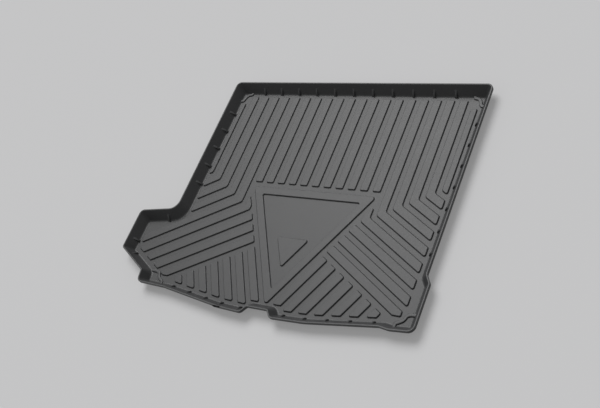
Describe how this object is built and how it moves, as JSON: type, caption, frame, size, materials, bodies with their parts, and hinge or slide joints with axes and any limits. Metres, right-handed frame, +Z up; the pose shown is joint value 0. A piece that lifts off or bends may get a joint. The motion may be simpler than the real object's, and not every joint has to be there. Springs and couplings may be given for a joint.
{
  "type": "car boot liner",
  "caption": "Shallow moulded rubber tray for a car boot: sloping rim with a thick lip, side ears, a latch cut-back and a raised rib tread round a triangular frame.",
  "frame": {"origin": "middle of the outline's bounding box in plan, on the underside of the floor", "axes": "+X to the right and +Y to the seat backs, as seen through the open tailgate; +Z up, the way a load stands on the liner"},
  "size_m": [1.2072, 0.8968, 0.039],
  "materials": {
    "rubber": "matt moulded rubber, dark grey"
  },
  "bodies": {
    "root": {"liner": "rubber"}
  },
  "joints": []
}
